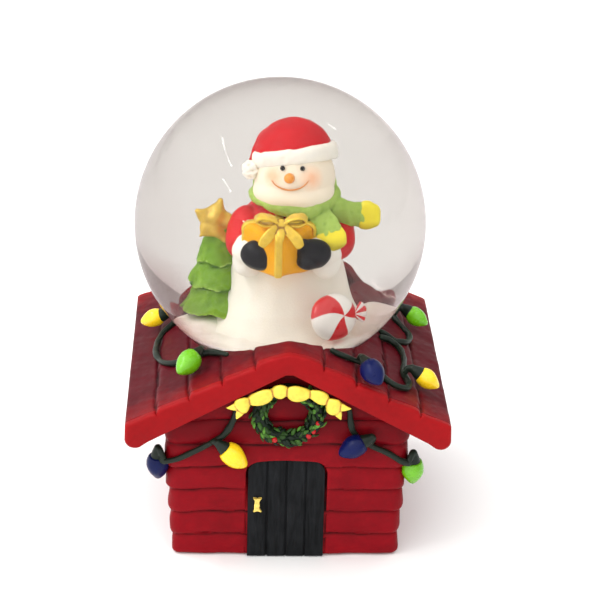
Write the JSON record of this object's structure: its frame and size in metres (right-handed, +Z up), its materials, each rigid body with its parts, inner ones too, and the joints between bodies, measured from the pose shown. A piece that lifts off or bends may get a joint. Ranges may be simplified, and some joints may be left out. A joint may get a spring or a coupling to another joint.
{
  "type": "snow globe",
  "caption": "Water-filled glass globe holding a painted snowman with a gift, on a hollow house-shaped base with a wind-up musical movement.",
  "frame": {"origin": "on the table, under the middle of the part", "axes": "+Z up; -Y is the front, where the door is; +X to the right seen from the front"},
  "size_m": [0.108, 0.106, 0.1545],
  "materials": {
    "wall_paint": "painted resin siding, crimson red with a dark wash along the courses, satin",
    "roof_paint": "painted resin boards, burgundy with a dark wash in the grooves, satin",
    "fascia_red": "glossy bright red paint",
    "door_paint": "charcoal paint, semi-gloss",
    "gold_paint": "gold paint, satin",
    "wreath_green": "dark and light green leaves, satin",
    "red_paint": "red paint, satin",
    "wire_green": "dark green paint, satin",
    "bulb_yellow": "glossy yellow paint",
    "bulb_green": "glossy lime green paint",
    "bulb_blue": "glossy blue paint",
    "cover_plastic": "black moulded plastic",
    "screw_steel": "zinc plated",
    "globe_glass": "clear blown glass",
    "clear_water": "clear liquid",
    "stopper_rubber": "black rubber",
    "snow_white": "cream and white paint, matt",
    "snow_flakes": "white plastic flakes",
    "black_paint": "black paint, satin",
    "scarf_green": "light green paint, satin",
    "fringe_yellow": "yellow paint, satin",
    "carrot_orange": "orange paint",
    "cheek_peach": "peach paint",
    "gift_gold": "golden orange paint, satin",
    "tree_green": "green paint with light edges",
    "candy_stripe": "red and white swirl, glossy",
    "movement_steel": "plated steel",
    "plate_metal": "plated casting",
    "spring_steel": "blued spring steel",
    "key_steel": "nickel plated",
    "movement_brass": "polished brass",
    "fan_plastic": "white plastic"
  },
  "bodies": {
    "base": {"house_walls": "wall_paint", "roof": "roof_paint", "fascia_boards": "fascia_red", "door": "door_paint", "door_handle": "gold_paint", "wreath": "wreath_green", "wreath_berries": "red_paint", "wreath_ribbon": "gold_paint", "front_light_wires": "wire_green", "roof_light_wires": "wire_green", "bulb_sockets": "wire_green", "yellow_bulbs": "bulb_yellow", "green_bulbs": "bulb_green", "blue_bulbs": "bulb_blue", "bottom_cover": "cover_plastic", "cover_screws": "screw_steel", "glass_globe": "globe_glass", "globe_stopper": "stopper_rubber", "water": "clear_water", "loose_snow": "snow_flakes", "snow_ground": "snow_white", "snowman_body": "snow_white", "snowman_coat": "red_paint", "coat_sleeves": "red_paint", "coat_cuffs": "snow_white", "mittens": "black_paint", "scarf": "scarf_green", "scarf_fringe": "fringe_yellow", "snowman_head": "snow_white", "eyes": "black_paint", "nose": "carrot_orange", "mouth": "carrot_orange", "cheeks": "cheek_peach", "hat": "red_paint", "hat_brim": "snow_white", "hat_pompom": "snow_white", "gift_box": "gift_gold", "gift_ribbon": "gold_paint", "gift_bow": "gold_paint", "tree": "tree_green", "tree_star": "gold_paint", "candy": "candy_stripe", "candy_wrapper": "candy_stripe", "bedplate": "plate_metal", "movement_screws": "screw_steel", "cylinder_brackets": "movement_steel", "spring_housing": "movement_steel", "mainspring": "spring_steel", "comb": "spring_steel", "governor_frame": "movement_steel"},
    "winding": {"winding_key": "key_steel", "winding_arbor": "key_steel", "crown_wheel": "movement_brass"},
    "music_cylinder": {"pinned_cylinder": "movement_brass", "cylinder_shaft": "movement_steel", "cylinder_gears": "movement_brass"},
    "governor_gear_shaft": {"governor_gears": "movement_steel"},
    "air_brake": {"worm_shaft": "movement_steel", "governor_fan": "fan_plastic"}
  },
  "joints": [
    {"name": "key_turn", "type": "hinge", "parent": "base", "child": "winding", "pos_m": [-0.008, 0, 0.012], "axis": [0, 0, 1], "continuous": true},
    {"name": "cylinder_turn", "type": "hinge", "parent": "base", "child": "music_cylinder", "pos_m": [0, 0, 0.0312], "axis": [1, 0, 0], "continuous": true},
    {"name": "governor_turn", "type": "hinge", "parent": "base", "child": "governor_gear_shaft", "pos_m": [0.0187, 0.01125, 0.0312], "axis": [1, 0, 0], "continuous": true},
    {"name": "fan_turn", "type": "hinge", "parent": "base", "child": "air_brake", "pos_m": [0.0187, 0.0158, 0.03], "axis": [0, 0, 1], "continuous": true}
  ],
  "couplings": [
    {"joint": "cylinder_turn", "follows": "key_turn", "ratio": 3},
    {"joint": "governor_turn", "follows": "key_turn", "ratio": -12},
    {"joint": "fan_turn", "follows": "key_turn", "ratio": 144}
  ]
}
